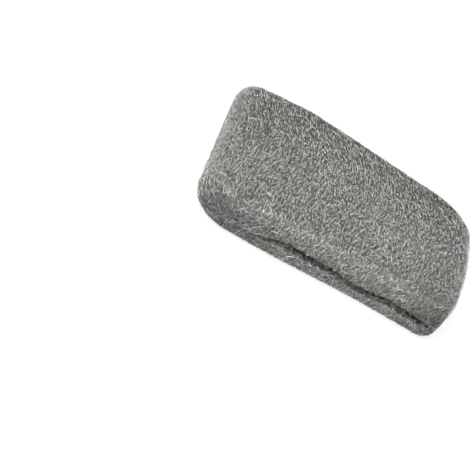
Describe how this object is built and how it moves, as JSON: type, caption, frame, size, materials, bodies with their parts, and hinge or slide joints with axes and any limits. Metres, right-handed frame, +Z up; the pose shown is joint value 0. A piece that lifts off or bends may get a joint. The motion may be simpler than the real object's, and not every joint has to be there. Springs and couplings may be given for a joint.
{
  "type": "steel wool pad",
  "caption": "Flat wad of steel wool folded over on itself, with rounded corners and a slit along one long side, for scouring and smoothing by hand.",
  "frame": {"origin": "middle of the footprint, on the resting face", "axes": "+X along the pad's length, +Y across it toward the plain folded side, +Z up through its thickness"},
  "size_m": [0.1085, 0.0884, 0.018],
  "materials": {
    "steel_wool": "matted fine steel fibre, dull grey with bright glints"
  },
  "bodies": {
    "root": {"steel_wool_pad": "steel_wool"}
  },
  "joints": []
}
